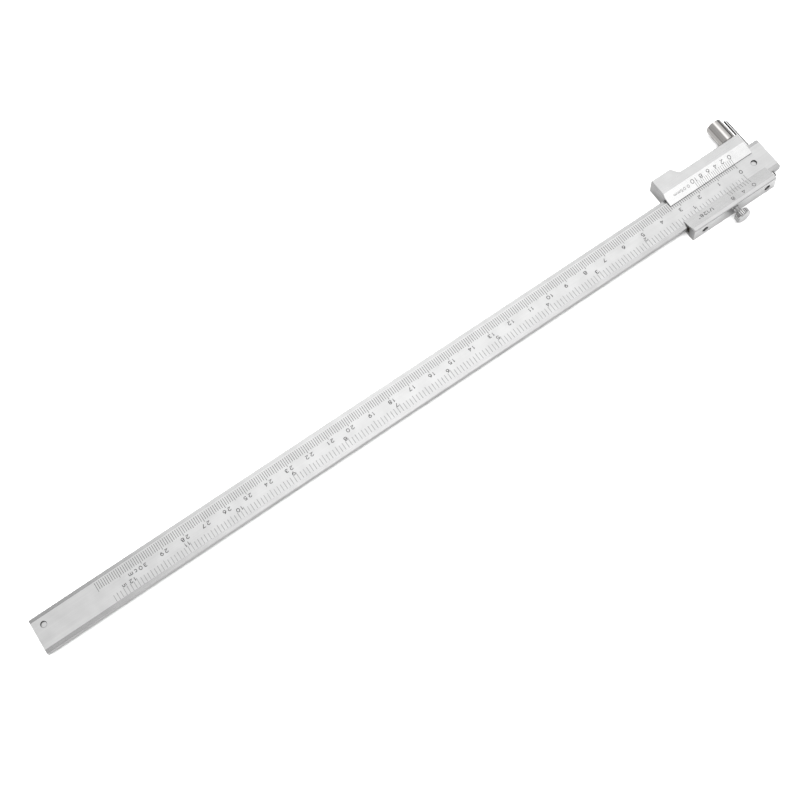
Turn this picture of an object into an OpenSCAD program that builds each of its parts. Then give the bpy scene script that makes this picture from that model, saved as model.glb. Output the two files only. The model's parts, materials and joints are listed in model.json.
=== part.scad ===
// Parallel marking caliper, 0 to 300 mm and 0 to 12 in.
// X runs along the beam from the scale zero towards 300 mm, Y across it towards the
// inch edge and Z up out of the scale face. Z is zero at the slider's back face and
// Y is zero on the beam's centre line. All sizes are in millimetres.

/* [Beam] */
// Length of the beam from end to end
beam_length = 365; // [350:1:380]
// Width of the beam
beam_width = 16; // [15:0.5:18]
// Thickness of the beam
beam_thick = 3.5; // [3.2:0.1:4]
// Distance from the zero end of the beam to the scale zero
zero_margin = 15.4; // [15:0.1:20]
// Width of the bevel along each long edge of the scale face
bevel_width = 1.75; // [1:0.05:2]
// Depth of that bevel
bevel_depth = 0.45; // [0.2:0.05:0.8]
// Diameter of the two pins set into the beam
pin_d = 2.5; // [2:0.1:3]

/* [Slider] */
// Length of the slider along the beam
slider_length = 43.3; // [42:0.1:48]
// Distance from the slider's leading end to its vernier zero
slider_lead = 9.4; // [9.4:0.1:10]
// Thickness of the slider from its back to its top
slider_thick = 8; // [7.8:0.1:9]
// Thickness of the slider's back under the beam
back_thick = 2.3; // [2:0.1:2.5]
// Wall on the metric side, from the beam's edge outwards
metric_wall = 6.15; // [5.8:0.05:7]
// Wall and gib space on the inch side, from the beam's edge outwards
inch_wall = 4.5; // [4.4:0.1:6]
// How far the metric lip reaches over the beam
metric_lip = 4.1; // [3.5:0.1:4.5]
// How far the inch lip reaches over the beam
inch_lip = 3; // [2.5:0.1:3.5]
// How far the thumb rest stands out from the metric side
thumb_height = 3.4; // [2.5:0.1:4]
// Length of the thumb rest's flat top
thumb_length = 10; // [8:0.1:14]

/* [Gib and lock] */
// Thickness of the gib strip
gib_thick = 0.85; // [0.8:0.05:0.9]
// Thread diameter of the gib screws and of the lock screw
screw_d = 3; // [2.5:0.1:3.2]
// Distance of each gib screw from the lock screw
gib_screw_offset = 16.5; // [12:0.5:18]
// Position of the lock screw along the slider, from the vernier zero
lock_x = 11.5; // [10:0.1:13]
// Diameter of the knurled knob
knob_d = 7; // [6:0.1:7.8]
// Thickness of the knurled knob
knob_thick = 2.8; // [2.4:0.1:4]
// Number of ribs around the knob
knob_ribs = 28; // [20:1:32]

/* [Roller] */
// Outer diameter of the roller
roller_d = 7.5; // [7.2:0.1:7.6]
// Length of the roller
roller_length = 10.7; // [10.2:0.1:14]
// Number of balls in each bearing
ball_count = 7; // [6:1:8]

/* [Scriber] */
// Diameter of the scriber needle
needle_d = 1.5; // [1.2:0.1:1.6]
// Distance from the scale zero back to the needle's axis
needle_back = 11.1; // [10.9:0.1:11.3]
// How far the needle's point stands out from the beam's metric edge
needle_reach = 15.9; // [12:0.1:16.5]
// How far the needle's blunt end stands out from the inch edge
needle_tail = 2; // [1:0.1:4]

/* [Hidden] */
$fn = 64;
cut = 1;              // how far a cutting shape runs past the face it cuts
slide_gap = 0.04;     // clearance between the beam and the slider
turn_gap = 0.05;      // radial clearance around a turning screw
edge_break = 0.3;     // chamfer on the long edges

beam_bottom = back_thick + slide_gap;
beam_top = beam_bottom + beam_thick;
beam_mid = (beam_bottom + beam_top) / 2;
half_width = beam_width / 2;
metric_side = -half_width - metric_wall;
inch_side = half_width + inch_wall;
axis_z = slider_thick / 2;
far_pin = [beam_length - zero_margin - 4.6, -3.1];
zero_pin = [-7.2, 0.4];
pin_depth = 0.7;                      // depth of the pins' tops below the scale face
pin_chamfer = 0.15;                   // chamfer at the mouth of each pin's hole

lip_gap = 0.1;                        // clearance between the scale face and the lips
channel_top = beam_top + lip_gap;
channel_wall = half_width + 1.3;      // inner wall on the inch side, behind the gib
lip_edge = 0.32;                      // thickness of each lip at its sharp edge
metric_bevel = 5.65;                  // width of the bevel that carries the metric vernier
inch_bevel = 5.75;                    // width of the bevel that carries the inch vernier
relief = 0.5;                         // corner relief in the channel
thumb_flank = 2.2;                    // length of the thumb rest's sloping flank
thumb_fillet = 1.2;                   // radius where that flank meets the metric side
end_break = 0.45;                     // chamfer on the top edge of each end

gib_front = half_width + slide_gap;
gib_back = gib_front + gib_thick;
gib_inset = 1.5;                      // how far the gib stops short of the slider's ends
gib_height = beam_thick - 0.3;
dimple_depth = 0.25;
gib_screw_recess = 0.5;
slot_width = 0.5;
slot_depth = 0.6;

lock_travel = 0.25;                   // advance of the lock screw in half a turn
shoe_gap = lock_travel + 0.02;
shoe_length = 1;
knob_gap = 2.6;                       // clear length of stem between slider and knob
rib_depth = 0.22;
knob_dome = 0.5;

roller_x = -slider_lead + roller_d / 2;
axle_d = 2;
ring_d = 5;                           // outer diameter of a bearing
race_inner_d = 2.9;                   // outer diameter of an inner ring
race_outer_d = 4.1;                   // inner diameter of an outer ring
bearing_width = 2.5;
washer_thick = 0.4;
end_gap = 0.25;                       // gap between the slider and the roller
ball_d = 0.8;
ball_gap = 0.02;
pitch_r = (race_inner_d + race_outer_d) / 4;
shoulder_d = 4.4;                     // bore of the roller between its two bearings
head_d = 3.6;
head_thick = 0.9;
head_recess = 0.15;
axle_thread = 5;
shield_thick = 0.15;
shield_gap = 0.1;                     // radial gap between a shield and the inner ring
cage_width = 1.1;
cage_thick = 0.3;
end_washer_thick = 0.3;
bearing_a = washer_thick;
bearing_b = end_gap + roller_length - head_recess - head_thick - end_washer_thick - bearing_width;

clamp_screw_d = 2;
clamp_recess = 0.3;
point_length = 1.1;                   // length of the oblique flat on the needle's point

// Solid with a (y, z) outline, running along X
module run_along_x(x, length) {
    translate([x, 0, 0]) rotate([90, 0, 90]) linear_extrude(height = length) children();
}

// Round thing on an axis parallel to Y, starting at y and running towards +Y
module on_y_axis(x, y, z) {
    translate([x, y, z]) rotate([-90, 0, 0]) children();
}

// Round thing on the roller's axis, whose end nearest the slider is at distance d from its side
module on_roller_axis(d, length) {
    on_y_axis(roller_x, metric_side - d - length, axis_z) children();
}

// Through hole for a pin, with a chamfer at the scale face
module pin_hole(place) {
    translate([place.x, place.y, beam_bottom - cut]) cylinder(d = pin_d, h = beam_thick + 2 * cut);
    translate([place.x, place.y, beam_top - pin_chamfer])
        cylinder(d1 = pin_d, d2 = pin_d + 4 * pin_chamfer, h = 2 * pin_chamfer);
}

module beam_outline() {
    polygon([
        [-half_width + edge_break, beam_bottom], [half_width - edge_break, beam_bottom],
        [half_width, beam_bottom + edge_break], [half_width, beam_top - bevel_depth],
        [half_width - bevel_width, beam_top], [-half_width + bevel_width, beam_top],
        [-half_width, beam_top - bevel_depth], [-half_width, beam_bottom + edge_break]
    ]);
}

module beam() {
    color("gainsboro") difference() {
        run_along_x(-zero_margin, beam_length) beam_outline();
        pin_hole(far_pin);
        pin_hole(zero_pin);
        on_y_axis(-needle_back, -half_width - cut, beam_mid)
            cylinder(d = needle_d, h = beam_width + 2 * cut);
        translate([-zero_margin - cut, 0, beam_mid]) rotate([0, 90, 0])
            cylinder(d = clamp_screw_d, h = zero_margin - needle_back + cut);
    }
}

// Pins pressed into the beam, flush with its back
module beam_pins() {
    color("silver") for (place = [far_pin, zero_pin])
        translate([place.x, place.y, beam_bottom]) cylinder(d = pin_d, h = beam_thick - pin_depth);
}

// Hardened needle, ground to a point on the side that faces the roller
module scriber_needle() {
    tip_y = -half_width - needle_reach;
    slope = atan(point_length / needle_d);
    color("dimgray") difference() {
        on_y_axis(-needle_back, tip_y, beam_mid)
            cylinder(d = needle_d, h = needle_reach + beam_width + needle_tail);
        translate([-needle_back + needle_d / 2, tip_y, beam_mid]) rotate([0, 0, -slope])
            translate([-3 * needle_d, -2 * needle_d, -needle_d])
                cube([4 * needle_d, 2 * needle_d, 2 * needle_d]);
    }
}

// Slotted grub screw in the beam's end face, which holds the needle
module needle_clamp_screw() {
    length = zero_margin - needle_back - needle_d / 2 - clamp_recess;
    translate([-zero_margin + clamp_recess, 0, beam_mid]) color("gray") difference() {
        rotate([0, 90, 0]) cylinder(d = clamp_screw_d, h = length);
        translate([-cut, -clamp_screw_d, -slot_width / 2])
            cube([cut + slot_depth, 2 * clamp_screw_d, slot_width]);
    }
}

// Cross-section of the slider: a back, two walls and two bevelled lips over the beam
module slider_outline() {
    polygon([
        [metric_side + edge_break, 0], [inch_side - edge_break, 0],
        [inch_side, edge_break], [inch_side, slider_thick - edge_break],
        [inch_side - edge_break, slider_thick],
        [half_width - inch_lip + inch_bevel, slider_thick],
        [half_width - inch_lip, channel_top + lip_edge], [half_width - inch_lip, channel_top],
        [channel_wall, channel_top], [channel_wall, back_thick],
        [-half_width - slide_gap, back_thick], [-half_width - slide_gap, channel_top],
        [-half_width + metric_lip, channel_top], [-half_width + metric_lip, channel_top + lip_edge],
        [-half_width + metric_lip - metric_bevel, slider_thick],
        [metric_side + edge_break, slider_thick], [metric_side, slider_thick - edge_break],
        [metric_side, edge_break]
    ]);
}

// Plan of the thumb rest: a flat top and a sloping flank that meets the side in a fillet
module thumb_outline() {
    end_x = slider_length - slider_lead;
    top_x = end_x - thumb_length;
    flank_angle = atan(thumb_height / thumb_flank);
    fillet_x = top_x - thumb_flank - thumb_fillet * tan(flank_angle / 2);
    polygon([
        [end_x, metric_side + edge_break], [end_x, metric_side - thumb_height],
        [top_x, metric_side - thumb_height],
        for (angle = [90 - flank_angle : flank_angle / 6 : 90]) [
            fillet_x + thumb_fillet * cos(angle), metric_side - thumb_fillet + thumb_fillet * sin(angle)
        ],
        [fillet_x, metric_side + edge_break]
    ]);
}

// Prism that chamfers the slider's top edge at the end at x
module end_chamfer(x) {
    side = end_break * sqrt(2);
    translate([x, 0, slider_thick]) rotate([0, 45, 0]) cube([side, 3 * slider_length, side], center = true);
}

module slider_body() {
    color("lightgray") difference() {
        union() {
            run_along_x(-slider_lead, slider_length) slider_outline();
            linear_extrude(height = slider_thick) thumb_outline();
        }
        for (offset_x = [-gib_screw_offset, gib_screw_offset])
            on_y_axis(lock_x + offset_x, channel_wall - cut, axis_z)
                cylinder(d = screw_d, h = inch_wall + cut);
        on_y_axis(lock_x, channel_wall - cut, axis_z)
            cylinder(d = screw_d + 2 * turn_gap, h = inch_wall + cut);
        on_y_axis(roller_x, metric_side - cut, axis_z) cylinder(d = axle_d, h = axle_thread + cut);
        translate([-slider_lead - cut, channel_wall - cut, back_thick])
            cube([slider_length + 2 * cut, relief + cut, relief]);
        end_chamfer(-slider_lead);
        end_chamfer(slider_length - slider_lead);
    }
}

// Flat bronze strip that takes up the play between the beam and the slider
module gib_strip() {
    length = slider_length - 2 * gib_inset;
    color("darkgoldenrod") difference() {
        translate([-slider_lead + gib_inset, gib_front, beam_mid - gib_height / 2])
            cube([length, gib_thick, gib_height]);
        for (offset_x = [-gib_screw_offset, gib_screw_offset])
            on_y_axis(lock_x + offset_x, gib_back - dimple_depth, axis_z)
                cylinder(d = screw_d / 2, h = dimple_depth + cut);
    }
}

// Slotted set screw with a dog point, its slot towards +Y
module set_screw(length) {
    difference() {
        union() {
            cylinder(d = screw_d / 2, h = length);
            translate([0, 0, dimple_depth]) cylinder(d = screw_d, h = length - dimple_depth);
        }
        translate([-screw_d, -slot_width / 2, length - slot_depth])
            cube([2 * screw_d, slot_width, slot_depth + cut]);
    }
}

module gib_screws() {
    start_y = gib_back - dimple_depth;
    color("dimgray") for (offset_x = [-gib_screw_offset, gib_screw_offset])
        on_y_axis(lock_x + offset_x, start_y, axis_z)
            set_screw(inch_side - gib_screw_recess - start_y);
}

// Slotted shoulder screw that carries both bearings and threads into the slider
module roller_axle_screw() {
    shank = bearing_b + bearing_width + end_washer_thick;
    color("silver") difference() {
        union() {
            on_roller_axis(-axle_thread, shank + axle_thread) cylinder(d = axle_d, h = shank + axle_thread);
            on_roller_axis(shank, head_thick) cylinder(d = head_d, h = head_thick);
        }
        translate([
            roller_x - head_d, metric_side - shank - head_thick - cut, axis_z - slot_width / 2
        ]) cube([2 * head_d, slot_depth / 2 + cut, slot_width]);
    }
}

// Plain ring around the axle, its end nearest the slider at distance d
module axle_ring(d, length, outer_d) {
    on_roller_axis(d, length) difference() {
        cylinder(d = outer_d, h = length);
        translate([0, 0, -cut]) cylinder(d = axle_d, h = length + 2 * cut);
    }
}

module roller_washer() {
    color("silver") axle_ring(0, washer_thick, race_inner_d);
}

module bearing_spacer() {
    start = bearing_a + bearing_width;
    color("silver") axle_ring(start, bearing_b - start, race_inner_d);
}

module roller_end_washer() {
    color("silver") axle_ring(bearing_b + bearing_width, end_washer_thick, race_inner_d);
}

// Groove for the balls, as a full ring at the middle of a bearing
module ball_groove() {
    translate([0, 0, bearing_width / 2]) rotate_extrude()
        translate([pitch_r, 0]) circle(d = ball_d + 2 * ball_gap);
}

module bearing_ring(inner_d, outer_d) {
    difference() {
        cylinder(d = outer_d, h = bearing_width);
        translate([0, 0, -cut]) cylinder(d = inner_d, h = bearing_width + 2 * cut);
        ball_groove();
    }
}

// Places one copy of a part in each of the two bearings
module in_both_bearings() {
    for (d = [bearing_a, bearing_b]) on_roller_axis(d, bearing_width) children();
}

module bearing_inner_rings() {
    color("silver") in_both_bearings() bearing_ring(axle_d, race_inner_d);
}

module bearing_outer_rings() {
    color("silver") in_both_bearings() bearing_ring(race_outer_d, ring_d);
}

// Places copies of a part at every ball of one bearing
module at_each_ball() {
    for (i = [0 : ball_count - 1]) rotate([0, 0, i * 360 / ball_count])
        translate([pitch_r, 0, bearing_width / 2]) children();
}

module bearing_balls() {
    color("white") in_both_bearings() at_each_ball() sphere(d = ball_d);
}

// Thin ring with a radial hole for each ball
module bearing_cages() {
    color("darkgoldenrod") in_both_bearings() difference() {
        translate([0, 0, (bearing_width - cage_width) / 2]) difference() {
            cylinder(r = pitch_r + cage_thick / 2, h = cage_width);
            translate([0, 0, -cut]) cylinder(r = pitch_r - cage_thick / 2, h = cage_width + 2 * cut);
        }
        at_each_ball() rotate([0, 90, 0])
            cylinder(d = ball_d + 2 * ball_gap, h = 2 * cage_thick, center = true);
    }
}

module bearing_shields() {
    inner_d = race_inner_d + 2 * shield_gap;
    color("silver") in_both_bearings()
        for (z = [shield_thick, bearing_width - 2 * shield_thick]) translate([0, 0, z]) difference() {
            cylinder(d = race_outer_d, h = shield_thick);
            translate([0, 0, -cut]) cylinder(d = inner_d, h = shield_thick + 2 * cut);
        }
}

// Hardened and ground roller that runs along the edge of the work
module roller_sleeve() {
    middle = bearing_a + bearing_width;
    color("slategray") difference() {
        on_roller_axis(end_gap, roller_length) union() {
            translate([0, 0, edge_break]) cylinder(d = roller_d, h = roller_length - 2 * edge_break);
            cylinder(d1 = roller_d - 2 * edge_break, d2 = roller_d, h = edge_break);
            translate([0, 0, roller_length - edge_break])
                cylinder(d1 = roller_d, d2 = roller_d - 2 * edge_break, h = edge_break);
        }
        on_roller_axis(0, middle) cylinder(d = ring_d, h = middle);
        on_roller_axis(middle - cut, roller_length) cylinder(d = shoulder_d, h = roller_length);
        on_roller_axis(bearing_b, roller_length) cylinder(d = ring_d, h = roller_length);
    }
}

// Brass pad between the lock screw and the gib
module lock_shoe() {
    color("darkgoldenrod") on_y_axis(lock_x, gib_back + shoe_gap, axis_z)
        cylinder(d = screw_d - 2 * turn_gap, h = shoe_length);
}

module lock_screw() {
    start_y = gib_back + shoe_gap + shoe_length;
    end_y = inch_side + knob_gap + knob_thick / 2;
    color("silver") on_y_axis(lock_x, start_y, axis_z) cylinder(d = screw_d, h = end_y - start_y);
}

// Ribbed outline of the knob: a V groove between each two ribs
module rib_outline() {
    step = 360 / knob_ribs;
    outer_r = knob_d / 2;
    inner_r = outer_r - rib_depth;
    polygon([
        for (i = [0 : knob_ribs - 1]) each [
            [outer_r * cos((i - 0.3) * step), outer_r * sin((i - 0.3) * step)],
            [outer_r * cos((i + 0.3) * step), outer_r * sin((i + 0.3) * step)],
            [inner_r * cos((i + 0.5) * step), inner_r * sin((i + 0.5) * step)]
        ]
    ]);
}

// Half section of the knob: a chamfer towards the slider and a low dome outside
module knob_section() {
    rim = knob_d / 2;
    polygon([
        [0, 0], [rim - edge_break, 0], [rim, edge_break], [rim, knob_thick - knob_dome],
        [rim - edge_break, knob_thick - knob_dome / 2], [rim - 2 * edge_break, knob_thick], [0, knob_thick]
    ]);
}

module lock_knob() {
    start_y = inch_side + knob_gap;
    color("silver") on_y_axis(lock_x, start_y, axis_z) difference() {
        intersection() {
            linear_extrude(height = knob_thick) rib_outline();
            rotate_extrude() knob_section();
        }
        translate([0, 0, -cut]) cylinder(d = screw_d, h = knob_thick / 2 + cut);
    }
}

beam();
beam_pins();
scriber_needle();
needle_clamp_screw();
slider_body();
gib_strip();
gib_screws();
roller_axle_screw();
roller_washer();
bearing_inner_rings();
bearing_spacer();
roller_end_washer();
roller_sleeve();
bearing_outer_rings();
bearing_balls();
bearing_cages();
bearing_shields();
lock_shoe();
lock_screw();
lock_knob();
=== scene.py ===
import json
import math
from dataclasses import dataclass

import bmesh
import bpy
from mathutils import Matrix, Vector


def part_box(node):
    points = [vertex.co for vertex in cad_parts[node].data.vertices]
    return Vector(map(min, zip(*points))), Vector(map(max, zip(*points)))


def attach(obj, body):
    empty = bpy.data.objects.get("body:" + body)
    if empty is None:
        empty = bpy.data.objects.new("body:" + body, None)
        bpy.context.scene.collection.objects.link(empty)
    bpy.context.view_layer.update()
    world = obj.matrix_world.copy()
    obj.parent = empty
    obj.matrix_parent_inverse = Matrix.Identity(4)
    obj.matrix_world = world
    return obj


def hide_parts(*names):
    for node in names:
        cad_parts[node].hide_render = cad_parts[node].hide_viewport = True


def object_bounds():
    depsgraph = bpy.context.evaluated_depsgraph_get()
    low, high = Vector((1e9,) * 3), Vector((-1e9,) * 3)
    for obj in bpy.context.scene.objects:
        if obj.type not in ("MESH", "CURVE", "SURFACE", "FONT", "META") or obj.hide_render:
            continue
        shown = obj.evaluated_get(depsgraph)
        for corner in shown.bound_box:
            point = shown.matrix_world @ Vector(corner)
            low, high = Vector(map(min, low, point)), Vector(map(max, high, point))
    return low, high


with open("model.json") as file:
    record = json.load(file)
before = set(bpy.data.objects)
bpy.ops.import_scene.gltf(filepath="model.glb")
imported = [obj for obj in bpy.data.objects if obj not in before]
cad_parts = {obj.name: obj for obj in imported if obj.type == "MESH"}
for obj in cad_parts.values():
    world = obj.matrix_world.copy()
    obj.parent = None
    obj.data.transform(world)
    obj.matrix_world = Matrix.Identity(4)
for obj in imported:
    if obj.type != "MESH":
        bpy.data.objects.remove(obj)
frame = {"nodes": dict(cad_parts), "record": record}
CAD_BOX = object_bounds()

MM = 0.001
INCH = 25.4 * MM
UP = Vector((0, 0, 1))

BEAM_LOW, BEAM_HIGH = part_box("beam")
BEAM_MIDDLE = (BEAM_LOW + BEAM_HIGH) / 2
STEM_LOW, STEM_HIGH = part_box("lock_screw")

# Engraved scales. X is zero at the scale zero, and Y is zero on the beam's centre line.
METRIC_LINES = 320             # millimetres on the beam
METRIC_FOOT = -5.8 * MM        # where every millimetre line starts
METRIC_TIPS = {10: -1.6 * MM, 5: -2.0 * MM, 1: -2.3 * MM}
METRIC_DIGITS_Y = -0.25 * MM   # middle of the centimetre numerals
METRIC_ZERO_Y = 0.55 * MM      # middle of the numeral zero, which stands apart
LAST_CENTIMETRE = 30
INCH_PARTS = 16                # lines to the inch
INCH_LINES = 199               # sixteenths on the beam
INCH_FOOT = 6.2 * MM
INCH_TIPS = {16: 2.3 * MM, 8: 2.5 * MM, 4: 2.7 * MM, 2: 2.9 * MM, 1: 3.1 * MM}
INCH_DIGITS_Y = 2.25 * MM
LAST_INCH = 12
INCH_UNIT_START = 4.7 * MM     # from the last inch line to the unit
INCH_UNIT_GAP = 0.6 * MM
LINE_WIDTH = 0.2 * MM
INCH_LINE_WIDTH = 0.24 * MM
DIGIT_HEIGHT = 1.5 * MM
DIGIT_GAP = 1.05 * MM          # between the digits of a numeral
STROKE_WIDTH = 0.28 * MM

# Where a numeral starts, from its line. Two of these go by its number of digits.
METRIC_ZERO_START = -0.7 * MM
METRIC_STARTS = {1: 0.7 * MM, 2: -1.6 * MM}
INCH_START = 0.3 * MM
VERNIER_STARTS = {1: -0.6 * MM, 2: -1.4 * MM}

# Engraved verniers on the slider's lips
METRIC_LIP_Y = -3.95 * MM      # just behind the sharp edge of the metric lip
METRIC_VERNIER_REACH = 2.6 * MM
METRIC_VERNIER_STEPS = 20
METRIC_VERNIER_LENGTH = 19 * MM
METRIC_ROW_Y = -7.45 * MM      # middle of the vernier's numerals
INCH_LIP_Y = 5.05 * MM         # just behind the sharp edge of the inch lip
INCH_VERNIER_REACH = 2.3 * MM
INCH_VERNIER_STEPS = 8
INCH_VERNIER_LENGTH = 7 / 16 * INCH
INCH_ROW_Y = 9.2 * MM
VERNIER_NUMERAL_EVERY = 4      # steps
VERNIER_LINE_WIDTH = 0.13 * MM
VERNIER_DIGIT_HEIGHT = 1.65 * MM
FINE_STROKE = 0.23 * MM

# The step of each vernier, written beside it: text, start, middle, height, gap and stroke width
METRIC_STEP = ("0.05mm", 21.9 * MM, -6.75 * MM, 1.15 * MM, 0.52 * MM, 0.2 * MM)
INCH_STEP = ('1/128"', 20.45 * MM, 7.7 * MM, 1.5 * MM, 0.7 * MM, 0.26 * MM)

INK_PROUD = 0.008 * MM         # height of the ink above the metal
INK_DEEP = 0.02 * MM           # depth of the ink below it
SHARPEST_MITRE = 0.5           # a mitre is at most twice as long as the stroke is wide

# The lock screw's thread
THREAD_PITCH = 0.5 * MM
THREAD_DEPTH = 0.2 * MM
THREAD_CHAMFER = 0.25 * MM     # at each end of the stem
STEPS_PER_TURN = 48
STEPS_PER_PITCH = 8

# The stage, lamp and camera
FLOOR_DEPTH = 0.04 * MM        # below the tool
REFLECTED_DEPTH = 0.02 * MM    # the same, of the floor that reflections show
FLOOR_TONE = 0.935
# Painted shade: the floor that reflections show is darker than the white floor, standing in for the floor
# in shade near the tool.
REFLECTED_TONE = 0.49
SHEET_SIZE = 2.0               # half the length of a floor's side
SHEET_PARTS = 8
WALL_RADIUS = 1.9
WALL_SIDES = 64
LAMP_POWER = 30.0
LAMP_SIZE = 1.5
LAMP_HEIGHT = 1.2
CAMERA_AT = Vector((250.7, 199.7, 553.6)) * MM
CAMERA_LOOKS = Vector((-0.1263, -0.3379, -0.9327))
CAMERA_RIGHT = Vector((-0.8265, 0.5558, -0.0895))
LENS = 64.25
SENSOR = 36.0

# Brightness of the studio by height: 0 is straight down, 0.5 the horizon and 1 straight up
CEILING_BY_HEIGHT = [(0.5, 0.35), (0.62, 0.62), (0.75, 1.0), (0.88, 1.2), (1.0, 1.36)]
# Its factor from the wall at -X, 0, to the wall at +X, 1
CEILING_ALONG_X = [
    (0.0, 0.7), (0.22, 0.78), (0.31, 1.0), (0.40, 1.40), (0.46, 1.41), (0.50, 1.25), (0.53, 1.10),
    (0.545, 0.88), (0.562, 0.55), (0.585, 0.50), (0.62, 0.68), (0.70, 0.74), (0.88, 0.72), (1.0, 1.4)]
# Brightness from below the horizon, and how it grows towards +X and +Y
BOUNCE = 0.9
BOUNCE_LEAN = (0.2, 0.97, 0.0)
# Where the ceiling takes over from the bounce, by height
HORIZON = [(0.46, 0.0), (0.5, 1.0)]


# ---------------------------------------------------------------- materials

def grey(value):
    return (value, value, value)


class Graph:
    """A material's or the world's node tree, with short ways to add the nodes used here."""

    def __init__(self, owner):
        owner.use_nodes = True
        self.tree = owner.node_tree

    def add(self, kind, **inputs):
        """A node with some inputs set; an underscore in a name stands for a space."""
        node = self.tree.nodes.new(kind)
        for key, value in inputs.items():
            node.inputs[key.replace("_", " ")].default_value = value
        return node

    def link(self, source, target):
        self.tree.links.new(source, target)

    def math(self, operation, source, *numbers):
        """The result of a sum on a socket and some numbers."""
        node = self.add("ShaderNodeMath")
        node.operation = operation
        self.link(source, node.inputs[0])
        for place, number in enumerate(numbers, 1):
            node.inputs[place].default_value = number
        return node.outputs["Value"]

    def ramp(self, source, stops):
        """A colour that follows the stops, pairs of a place from 0 to 1 and a grey or a colour."""
        node = self.add("ShaderNodeValToRGB")
        places = node.color_ramp.elements
        while len(places) < len(stops):
            places.new(1.0)
        for place, (position, colour) in zip(places, stops):
            place.position = position
            place.color = (*(grey(colour) if isinstance(colour, float) else colour), 1)
        self.link(source, node.inputs["Fac"])
        return node.outputs["Color"]

    def spread(self, noise, low, high, margin=0.35):
        """A colour that goes from low to high over the middle of a noise's range."""
        return self.ramp(noise, [(margin, low), (1 - margin, high)])

    def mix(self, kind, factor, a, b):
        """Mixes a with b, which is a socket or a colour. factor is a socket or a number."""
        node = self.add("ShaderNodeMix")
        node.data_type = "RGBA"
        node.blend_type = kind
        for value, name in ((factor, "Factor"), (a, "A"), (b, "B")):
            socket = next(i for i in node.inputs if i.name == name and i.enabled)
            if isinstance(value, bpy.types.NodeSocket):
                self.link(value, socket)
            else:
                socket.default_value = value if name == "Factor" else (*value, 1)
        return next(o for o in node.outputs if o.enabled)

    def noise(self, stretch, scale, detail):
        """Noise in object space, drawn out along the axes where stretch is small."""
        coords = self.add("ShaderNodeTexCoord")
        mapping = self.add("ShaderNodeMapping", Scale=stretch)
        noise = self.add("ShaderNodeTexNoise", Scale=scale, Detail=detail)
        self.link(coords.outputs["Object"], mapping.inputs["Vector"])
        self.link(mapping.outputs["Vector"], noise.inputs["Vector"])
        return noise.outputs["Fac"]

    def coordinate(self, kind, axis):
        """The X, Y or Z of a texture coordinate, such as Object or Normal."""
        coords = self.add("ShaderNodeTexCoord")
        split = self.add("ShaderNodeSeparateXYZ")
        self.link(coords.outputs[kind], split.inputs["Vector"])
        return split.outputs[axis]

    def normal(self, axis):
        """The X, Y or Z of the surface's normal, moved from -1..1 to 0..1."""
        return self.math("MULTIPLY_ADD", self.coordinate("Normal", axis), 0.5, 0.5)

    def face(self, shade_and_finish):
        """One on the faces that a painted shade and finish is for, and zero elsewhere."""
        mask = self.ramp(self.normal(shade_and_finish.axis), shade_and_finish.stops)
        for axis, centre, reach in shade_and_finish.places:
            place = self.math("COMPARE", self.coordinate("Object", axis), centre, reach)
            mask = self.mix("MULTIPLY", 1.0, mask, place)
        return mask


NORMAL_EDGE = 0.02    # width of the soft edge of a mask


def beyond(low):
    """Stops that pick out normals further than low from zero, on either side."""
    start, end = 0.5 - low / 2, 0.5 + low / 2
    return [(start, 1.0), (start + NORMAL_EDGE, 0.0), (end - NORMAL_EDGE, 0.0), (end, 1.0)]


def between(low, high):
    """Stops that pick out normals between low and high."""
    start, end = 0.5 + low / 2, 0.5 + high / 2
    return [(start - NORMAL_EDGE, 0.0), (start, 1.0), (end, 1.0), (end + NORMAL_EDGE, 0.0)]


INCH_SLOPES = between(0.2, 0.5)        # faces that lean towards +Y
METRIC_SLOPES = between(-0.5, -0.2)    # faces that lean towards -Y
SIDES = beyond(0.9)                    # faces square to the axis
HOLE_WALLS = between(-0.2, 0.8)        # along Z: upright walls of a hole, and its chamfer
# The flanks of a round rod along Y, either side of the crown that faces the camera
FLANKS = [(0.54, 1.0), (0.57, 0.0), (0.75, 0.0), (0.79, 1.0)]


@dataclass
class Finish:
    """Painted light and shade, as a factor on the base colour, and roughness of the faces whose normal
    follows the stops along an axis.

    places limits it to where each object coordinate is within a reach of a centre.
    """

    axis: str
    stops: list
    tint: float
    rough: float
    places: tuple = ()


# Stretch of a noise, small along its lines
ALONG_X = (0.02, 1, 1)
ALONG_Y = (1, 0.02, 1)
AROUND = (1, 0.3, 1)
EVEN = (1, 1, 1)
GRAIN_SCALE = 1600.0
CLOUD_SCALE = 150.0
CLOUD_CONTRAST = 0.04
ROUGHNESS_SPREAD = 0.03


def new_material(name):
    """A new material, its graph and its shader."""
    material = bpy.data.materials.new(name)
    graph = Graph(material)
    return material, graph, graph.tree.nodes["Principled BSDF"]


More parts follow.
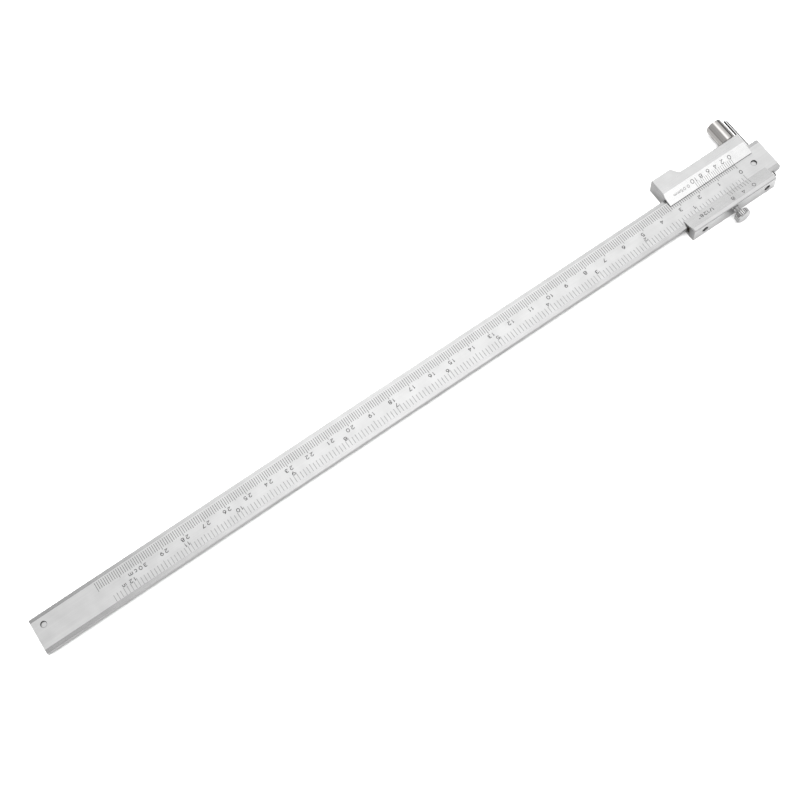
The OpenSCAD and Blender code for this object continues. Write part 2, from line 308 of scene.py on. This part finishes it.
def metal(name, colour, rough, grain, contrast=0.05, bump=0.05, shades_and_finishes=()):
    """Metal with fine grain along one axis, soft cloudy variation, a little relief, and light and shade
    painted on faces by the way they face.
    """
    material, graph, shader = new_material(name)
    shader.inputs["Metallic"].default_value = 1.0
    fine = graph.noise(grain, GRAIN_SCALE, 6.0)
    if grain is ALONG_X:
        ends = graph.ramp(graph.normal("X"), SIDES)
        fine = graph.mix("MIX", ends, fine, graph.noise(ALONG_Y, GRAIN_SCALE / 2, 6.0))
    cloud = graph.noise(EVEN, CLOUD_SCALE, 3.0)
    dark = tuple(c * (1 - CLOUD_CONTRAST) for c in colour)
    light = tuple(c * (1 + CLOUD_CONTRAST) for c in colour)
    base = graph.spread(cloud, dark, light)
    base = graph.mix("MULTIPLY", 1.0, base, graph.spread(fine, 1.0 - contrast, 1.0))
    roughness = graph.spread(fine, rough - ROUGHNESS_SPREAD, rough + ROUGHNESS_SPREAD)
    # Painted light and shade: faces picked by their normal get their base colour darkened or lightened by
    # a factor, standing in for how they catch the light, and get their own roughness.
    for shade_and_finish in shades_and_finishes:
        mask = graph.face(shade_and_finish)
        base = graph.mix("MULTIPLY", mask, base, grey(shade_and_finish.tint))
        roughness = graph.mix("MIX", mask, roughness, grey(shade_and_finish.rough))
    graph.link(base, shader.inputs["Base Color"])
    graph.link(roughness, shader.inputs["Roughness"])
    relief = graph.add("ShaderNodeBump", Strength=bump, Distance=0.02 * MM)
    graph.link(fine, relief.inputs["Height"])
    graph.link(relief.outputs["Normal"], shader.inputs["Normal"])
    return material


def ink(name, darkest, lightest):
    """Matt paint that fills the engraving, worn a little thin in places."""
    material, graph, shader = new_material(name)
    wear = graph.noise(EVEN, 900.0, 5.0)
    graph.link(graph.spread(wear, darkest, lightest), shader.inputs["Base Color"])
    shader.inputs["Roughness"].default_value = 0.55
    return material


def paper(name, tone):
    """Pale paper with hardly visible fibre."""
    material, graph, shader = new_material(name)
    fibre = graph.noise(EVEN, 60.0, 2.0)
    graph.link(graph.spread(fibre, tone - 0.015, tone + 0.015, 0.3), shader.inputs["Base Color"])
    shader.inputs["Roughness"].default_value = 0.9
    shader.inputs["Specular IOR Level"].default_value = 0.1
    return material


def glow(name, dimmest, brightest):
    """A surface that shines by itself, with a faint cloudy variation."""
    material, graph, shader = new_material(name)
    cloud = graph.noise(EVEN, 0.5, 2.0)
    graph.link(graph.spread(cloud, dimmest, brightest, 0.3), shader.inputs["Emission Color"])
    shader.inputs["Emission Strength"].default_value = 1.0
    return material


# Where painted shade and a finish apply: an axis, the middle of the place along it and the reach to
# either side
PIN_HOLES = (
    ("X", BEAM_MIDDLE.x, BEAM_MIDDLE.x - BEAM_LOW.x - 1 * MM),
    ("Y", BEAM_MIDDLE.y, 6 * MM))
METRIC_LIP_EDGE = (("Y", METRIC_LIP_Y, 0.1 * MM),)

MATERIALS = {
    "beam_steel": metal("beam_steel", grey(0.60), 0.34, ALONG_X, shades_and_finishes=[
        # Painted light and shade: the beam's slopes, sides and ends are darkened by set factors, standing
        # in for their dimmer reflections.
        Finish("Y", INCH_SLOPES, 0.78, 0.16),
        Finish("Y", METRIC_SLOPES, 0.90, 0.16),
        Finish("Y", SIDES, 0.78, 0.40),
        Finish("X", SIDES, 0.70, 0.35),
        # Painted shade: the walls of the pin holes are near black, standing in for the shade inside the
        # holes.
        Finish("Z", HOLE_WALLS, 0.08, 0.50, PIN_HOLES)]),
    "slider_steel": metal("slider_steel", grey(0.57), 0.30, ALONG_X, contrast=0.03, shades_and_finishes=[
        # Painted light and shade: the slider's slopes and long sides are lightened and its ends darkened
        # by set factors, for how they catch the light.
        Finish("Y", INCH_SLOPES, 1.28, 0.25),
        Finish("Y", METRIC_SLOPES, 1.06, 0.25),
        Finish("Y", SIDES, 1.18, 0.16),
        Finish("X", SIDES, 0.66, 0.30),
        # Painted shadow: the upright edge face of the metric lip is near black, standing in for the
        # shadow gap along that edge.
        Finish("Y", SIDES, 0.15, 0.50, METRIC_LIP_EDGE)]),
    "carbide": metal("carbide", grey(0.85), 0.10, ALONG_Y, bump=0.02, shades_and_finishes=[
        # Painted shade: the needle's flanks either side of its crown are darkened, standing in for the
        # dark reflections beside its bright crown.
        Finish("X", FLANKS, 0.14, 0.20)]),
    "roller_steel": metal("roller_steel", (0.63, 0.61, 0.595), 0.14, ALONG_Y, bump=0.02, shades_and_finishes=[
        # Painted shade: the roller's sides towards +X and -X are darkened, -X the more, standing in for
        # their dim reflections.
        Finish("X", between(0.35, 1.0), 0.62, 0.14),
        Finish("X", between(-1.0, -0.35), 0.42, 0.14)]),
    "bearing_steel": metal("bearing_steel", grey(0.52), 0.15, AROUND),
    "screw_steel": metal("screw_steel", grey(0.62), 0.22, AROUND),
    "dark_screw": metal("dark_screw", grey(0.06), 0.45, AROUND),
    "knob_steel": metal("knob_steel", grey(0.66), 0.22, AROUND, contrast=0.10, shades_and_finishes=[
        # Painted shade: the knob's faces that turn towards +X or -X are darkened.
        Finish("X", beyond(0.55), 0.50, 0.22)]),
    "bronze": metal("bronze", (0.66, 0.47, 0.26), 0.35, ALONG_X),
}
INK = ink("engraving_ink", 0.02, 0.07)
FAINT_INK = ink("faint_ink", 0.22, 0.34)


# ---------------------------------------------------------------- objects

def new_object(name, data):
    """A new object in the scene."""
    thing = bpy.data.objects.new(name, data)
    bpy.context.scene.collection.objects.link(thing)
    return thing


def new_mesh_object(name, bm, paint):
    """A new object in the scene with a mesh and one material."""
    mesh = bpy.data.meshes.new(name)
    bm.to_mesh(mesh)
    bm.free()
    mesh.materials.append(paint)
    return new_object(name, mesh)


def new_piece(name, bm, body, paint):
    """A visible piece that rides on a body."""
    bmesh.ops.recalc_face_normals(bm, faces=bm.faces)
    piece = new_mesh_object(name, bm, paint)
    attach(piece, body)
    return piece


def paint_cad_nodes():
    """Gives every CAD node the material of its slot in the record."""
    for part in frame["record"]["subparts"]:
        node = frame["nodes"][part["node"]]
        node.data.materials.clear()
        node.data.materials.append(MATERIALS[part["material_slot"]])


# ---------------------------------------------------------------- surfaces to draw on

class Surface:
    """The top of a CAD node, found by looking straight down on it."""

    def __init__(self, node):
        self.node = frame["nodes"][node]
        self.start = CAD_BOX[1][2] + 10 * MM

    def at(self, x, y):
        """(point, normal) on the node's top at x, y."""
        hit, point, normal, _ = self.node.ray_cast(Vector((x, y, self.start)), -UP)
        if not hit:
            raise ValueError(f"nothing of {self.node.name} lies under {x:.4f}, {y:.4f}")
        return point, normal


# ---------------------------------------------------------------- single-stroke numerals

def arc(centre_x, centre_y, radius_x, radius_y, start, end, steps=12):
    """Points along an arc of an ellipse, from start to end degrees."""
    return [
        (centre_x + radius_x * math.cos(math.radians(start + (end - start) * i / steps)),
         centre_y + radius_y * math.sin(math.radians(start + (end - start) * i / steps)))
        for i in range(steps + 1)
    ]


def ring(centre_x, centre_y, radius_x, radius_y):
    return arc(centre_x, centre_y, radius_x, radius_y, 90, 450, 20)


# Each character is its width, for a height of one, and a list of strokes
GLYPHS = {
    "0": (0.84, [ring(0.42, 0.5, 0.42, 0.5)]),
    "1": (0.24, [[(0.0, 0.74), (0.24, 1.0), (0.24, 0.0)]]),
    "2": (0.8, [arc(0.4, 0.69, 0.38, 0.31, 170, -38) + [(0.0, 0.0), (0.8, 0.0)]]),
    "3": (0.78, [arc(0.38, 0.75, 0.34, 0.25, 155, -90) + arc(0.38, 0.26, 0.4, 0.26, 90, -155)]),
    "4": (0.8, [[(0.58, 0.0), (0.58, 1.0), (0.0, 0.28), (0.8, 0.28)]]),
    "5": (0.78, [[(0.72, 1.0), (0.12, 1.0), (0.06, 0.54)] + arc(0.38, 0.33, 0.4, 0.33, 130, -150)]),
    "6": (0.8, [arc(0.76, 0.33, 0.74, 0.67, 105, 172), ring(0.4, 0.32, 0.38, 0.32)]),
    "7": (0.78, [[(0.0, 1.0), (0.78, 1.0), (0.26, 0.0)]]),
    "8": (0.8, [ring(0.4, 0.77, 0.32, 0.23), ring(0.4, 0.27, 0.4, 0.27)]),
    "9": (0.8, [arc(0.04, 0.67, 0.74, 0.67, -75, -8), ring(0.4, 0.68, 0.38, 0.32)]),
    "c": (0.66, [arc(0.4, 0.36, 0.36, 0.36, 48, 312)]),
    "m": (1.1, [[(0.0, 0.0), (0.0, 0.72)], arc(0.275, 0.46, 0.275, 0.26, 180, 0) + [(0.55, 0.0)],
                arc(0.825, 0.46, 0.275, 0.26, 180, 0) + [(1.1, 0.0)]]),
    "i": (0.0, [[(0.0, 0.0), (0.0, 0.68)], [(0.0, 0.88), (0.0, 1.0)]]),
    "n": (0.56, [[(0.0, 0.0), (0.0, 0.72)], arc(0.28, 0.46, 0.28, 0.26, 180, 0) + [(0.56, 0.0)]]),
    ".": (0.0, [[(0.0, 0.0), (0.0, 0.12)]]),
    "/": (0.5, [[(0.0, -0.05), (0.5, 1.05)]]),
    '"': (0.26, [[(0.0, 0.75), (0.0, 1.08)], [(0.26, 0.75), (0.26, 1.08)]]),
}


# ---------------------------------------------------------------- ink solids

def stroke_sides(points, width):
    """Left and right edges of a ribbon that follows flat points, mitred at its corners."""
    closed = (Vector(points[0]) - Vector(points[-1])).length < 1e-9
    flat = [Vector(p) for p in (points[:-1] if closed else points)]
    count = len(flat)
    left, right = [], []
    for i, point in enumerate(flat):
        before = flat[i - 1] if closed or i > 0 else None
        after = flat[(i + 1) % count] if closed or i < count - 1 else None
        ways = [(point - before).normalized()] if before is not None else []
        ways += [(after - point).normalized()] if after is not None else []
        way = sum(ways, Vector((0, 0))).normalized()
        across = Vector((-way.y, way.x))
        reach = width / 2 / max(SHARPEST_MITRE, abs(way.dot(ways[0])))
        left.append(point + across * reach)
        right.append(point - across * reach)
    return left, right, closed


def add_stroke(bm, surface, points, width):
    """Adds one inked line to a mesh, as a thin closed solid that lies on the surface."""
    left, right, closed = stroke_sides(points, width)
    rows = []
    for a, b in zip(left, right):
        corners = []
        for flat in (a, b):
            point, normal = surface.at(flat.x, flat.y)
            corners += [bm.verts.new(point + normal * INK_PROUD), bm.verts.new(point - normal * INK_DEEP)]
        rows.append(corners)
    pairs = list(zip(rows, rows[1:] + rows[:1])) if closed else list(zip(rows, rows[1:]))
    for (top_l, low_l, top_r, low_r), (next_l, next_low_l, next_r, next_low_r) in pairs:
        bm.faces.new((top_l, top_r, next_r, next_l))
        bm.faces.new((low_r, low_l, next_low_l, next_low_r))
        bm.faces.new((low_l, top_l, next_l, next_low_l))
        bm.faces.new((top_r, low_r, next_low_r, next_r))
    if not closed:
        for top_l, low_l, top_r, low_r in (rows[0], rows[-1]):
            bm.faces.new((top_l, low_l, low_r, top_r))


def add_text(bm, surface, text, x, y, height, gap, stroke=STROKE_WIDTH):
    """Writes text centred on y, from x on, with a gap between its characters."""
    for character in text:
        width, strokes = GLYPHS[character]
        for points in strokes:
            placed = [(x + px * height, y + (py - 0.5) * height) for px, py in points]
            add_stroke(bm, surface, placed, stroke)
        x += width * height + gap


def ink_piece(name, body, draw, paint):
    """One piece of ink, drawn by a function, that rides on a body."""
    bm = bmesh.new()
    draw(bm)
    new_piece(name, bm, body, paint)


def tip(number, tips):
    """How far line number reaches, given the reach of each kind of line."""
    return next(reach for every, reach in tips.items() if number % every == 0)


# ---------------------------------------------------------------- the scales

def draw_metric_lines(bm):
    top = Surface("beam")
    for i in range(METRIC_LINES + 1):
        x = i * MM
        add_stroke(bm, top, [(x, METRIC_FOOT), (x, tip(i, METRIC_TIPS))], LINE_WIDTH)


def draw_metric_numerals(bm):
    top = Surface("beam")
    add_text(bm, top, "0", METRIC_ZERO_START, METRIC_ZERO_Y, DIGIT_HEIGHT, DIGIT_GAP)
    for number in range(1, LAST_CENTIMETRE + 1):
        numeral = str(number)
        start = number * 10 * MM + METRIC_STARTS[len(numeral)]
        text = numeral + "cm" if number == LAST_CENTIMETRE else numeral
        add_text(bm, top, text, start, METRIC_DIGITS_Y, DIGIT_HEIGHT, DIGIT_GAP)


def draw_inch_lines(bm):
    top = Surface("beam")
    for i in range(INCH_LINES + 1):
        x = i * INCH / INCH_PARTS
        add_stroke(bm, top, [(x, INCH_FOOT), (x, tip(i, INCH_TIPS))], INCH_LINE_WIDTH)


def draw_inch_numerals(bm):
    top = Surface("beam")
    for number in range(1, LAST_INCH + 1):
        start = number * INCH + INCH_START
        add_text(bm, top, str(number), start, INCH_DIGITS_Y, DIGIT_HEIGHT, DIGIT_GAP)
    start = LAST_INCH * INCH + INCH_UNIT_START
    add_text(bm, top, "in", start, INCH_DIGITS_Y, DIGIT_HEIGHT, INCH_UNIT_GAP)


def draw_vernier(bm, lip_y, reach, steps, length, numerals, row_y):
    """Vernier lines from a lip's sharp edge inwards, with numerals at even steps."""
    top = Surface("slider_body")
    step = length / steps
    for i in range(steps + 1):
        x = i * step
        add_stroke(bm, top, [(x, lip_y), (x, lip_y + reach)], VERNIER_LINE_WIDTH)
    for i, text in enumerate(numerals):
        start = i * VERNIER_NUMERAL_EVERY * step + VERNIER_STARTS[len(text)]
        add_text(bm, top, text, start, row_y, VERNIER_DIGIT_HEIGHT, DIGIT_GAP, FINE_STROKE)


def draw_metric_vernier(bm):
    draw_vernier(
        bm, METRIC_LIP_Y, -METRIC_VERNIER_REACH, METRIC_VERNIER_STEPS, METRIC_VERNIER_LENGTH,
        ["0", "2", "4", "6", "8", "10"], METRIC_ROW_Y)


def draw_metric_step(bm):
    add_text(bm, Surface("slider_body"), *METRIC_STEP)


def draw_inch_vernier(bm):
    draw_vernier(
        bm, INCH_LIP_Y, INCH_VERNIER_REACH, INCH_VERNIER_STEPS, INCH_VERNIER_LENGTH,
        ["0", "4", "8"], INCH_ROW_Y)
    add_text(bm, Surface("slider_body"), *INCH_STEP)


def make_scales():
    ink_piece("metric_lines", "beam", draw_metric_lines, INK)
    ink_piece("metric_numerals", "beam", draw_metric_numerals, INK)
    ink_piece("inch_lines", "beam", draw_inch_lines, FAINT_INK)
    ink_piece("inch_numerals", "beam", draw_inch_numerals, INK)
    ink_piece("metric_vernier", "slider", draw_metric_vernier, INK)
    ink_piece("metric_step", "slider", draw_metric_step, FAINT_INK)
    ink_piece("inch_vernier", "slider", draw_inch_vernier, INK)


# ---------------------------------------------------------------- the lock screw's thread

def thread_radius(from_start, from_end, turn):
    """Radius of the thread at a distance from its ends and a part of a turn."""
    radius = (STEM_HIGH.x - STEM_LOW.x) / 2
    phase = (from_start / THREAD_PITCH + turn) % 1.0
    groove = THREAD_DEPTH * (1 - abs(2 * phase - 1))
    return min(radius - groove, radius - THREAD_CHAMFER + min(from_start, from_end))


def make_lock_screw():
    """The lock screw with its real V thread, as one closed mesh."""
    axis = (STEM_LOW + STEM_HIGH) / 2
    length = STEM_HIGH.y - STEM_LOW.y
    count = round(length / THREAD_PITCH * STEPS_PER_PITCH)
    bm = bmesh.new()
    rings = []
    for row in range(count + 1):
        along = length * row / count
        corners = []
        for step in range(STEPS_PER_TURN):
            turn = step / STEPS_PER_TURN
            radius = thread_radius(along, length - along, turn)
            x = axis.x + radius * math.cos(math.tau * turn)
            z = axis.z + radius * math.sin(math.tau * turn)
            corners.append(bm.verts.new((x, STEM_LOW.y + along, z)))
        rings.append(corners)
    for near, far in zip(rings, rings[1:]):
        for a, b, c, d in zip(near, near[1:] + near[:1], far[1:] + far[:1], far):
            bm.faces.new((a, b, c, d))
    bm.faces.new(rings[0])
    bm.faces.new(rings[-1])
    screw = new_piece("threaded_lock_screw", bm, "lock", MATERIALS["screw_steel"])
    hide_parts("lock_screw")


# ---------------------------------------------------------------- stage, light and camera

def make_camera():
    data = bpy.data.cameras.new("camera")
    data.lens = LENS
    data.sensor_width = SENSOR
    camera = new_object("camera", data)
    back = -CAMERA_LOOKS.normalized()
    right = (CAMERA_RIGHT - back * CAMERA_RIGHT.dot(back)).normalized()
    above = back.cross(right)
    turn = Matrix((right, above, back)).transposed().to_4x4()
    camera.matrix_world = Matrix.Translation(CAMERA_AT) @ turn
    bpy.context.scene.camera = camera


def make_sheet(name, depth, paint):
    """A large plain sheet with a coarse grid, at a depth below the lowest point of the tool."""
    bm = bmesh.new()
    bmesh.ops.create_grid(bm, x_segments=SHEET_PARTS, y_segments=SHEET_PARTS, size=SHEET_SIZE)
    sheet = new_mesh_object(name, bm, paint)
    sheet.location = (BEAM_MIDDLE.x, BEAM_MIDDLE.y, CAD_BOX[0][2] - depth)
    return sheet


def make_floors():
    """The white floor, and a greyer one that only the metal's reflections show: painted shade, so that
    reflections show the floor as if in shade.
    """
    floor = make_sheet("floor", FLOOR_DEPTH, paper("white_paper", FLOOR_TONE))
    floor.visible_glossy = False
    # Painted shade: this darker sheet is seen only in reflections, standing in for the floor in shade.
    card = make_sheet("reflected_floor", REFLECTED_DEPTH, paper("shaded_floor_for_reflections", REFLECTED_TONE))
    card.visible_camera = False
    card.visible_diffuse = False
    card.visible_shadow = False
    return floor, card


def make_backdrop():
    """A pale round wall that low views see behind the tool. It lights nothing."""
    bm = bmesh.new()
    bmesh.ops.create_cone(
        bm, segments=WALL_SIDES, radius1=WALL_RADIUS, radius2=WALL_RADIUS, depth=2 * WALL_RADIUS)
    wall = new_mesh_object("backdrop", bm, glow("pale_wall", 0.90, 0.96))
    wall.location = (BEAM_MIDDLE.x, BEAM_MIDDLE.y, CAD_BOX[0][2])
    wall.visible_glossy = False
    wall.visible_diffuse = False
    wall.visible_shadow = False


def make_world():
    """The soft studio that the metal reflects: a bright ceiling, a dark horizon, a pale bounce."""
    world = bpy.data.worlds.new("studio")
    graph = Graph(world)
    coords = graph.add("ShaderNodeTexCoord")
    split = graph.add("ShaderNodeSeparateXYZ")
    graph.link(coords.outputs["Generated"], split.inputs["Vector"])
    height = graph.math("MULTIPLY_ADD", split.outputs["Z"], 0.5, 0.5)
    along = graph.math("MULTIPLY_ADD", split.outputs["X"], 0.5, 0.5)
    ceiling = graph.mix(
        "MULTIPLY", 1.0, graph.ramp(height, CEILING_BY_HEIGHT), graph.ramp(along, CEILING_ALONG_X))
    lean = graph.add("ShaderNodeVectorMath")
    lean.operation = "DOT_PRODUCT"
    graph.link(coords.outputs["Generated"], lean.inputs[0])
    lean.inputs[1].default_value = BOUNCE_LEAN
    bounce = graph.math("ADD", lean.outputs["Value"], BOUNCE)
    light = graph.mix("MIX", graph.ramp(height, HORIZON), bounce, ceiling)
    graph.link(light, graph.tree.nodes["Background"].inputs["Color"])
    bpy.context.scene.world = world


def make_floor_lamp(floors):
    """A large soft lamp overhead that lights the floors alone, so that they stay white."""
    data = bpy.data.lights.new("floor_lamp", "AREA")
    data.energy = LAMP_POWER
    data.size = LAMP_SIZE
    lamp = new_object("floor_lamp", data)
    lamp.location = BEAM_MIDDLE + UP * LAMP_HEIGHT
    lamp.visible_camera = False
    lit = bpy.data.collections.new("lit_by_floor_lamp")
    for floor in floors:
        lit.objects.link(floor)
    lamp.light_linking.receiver_collection = lit


paint_cad_nodes()
make_scales()
make_lock_screw()
make_camera()
make_world()
make_floor_lamp(make_floors())
make_backdrop()
bpy.context.scene.view_settings.view_transform = "Standard"
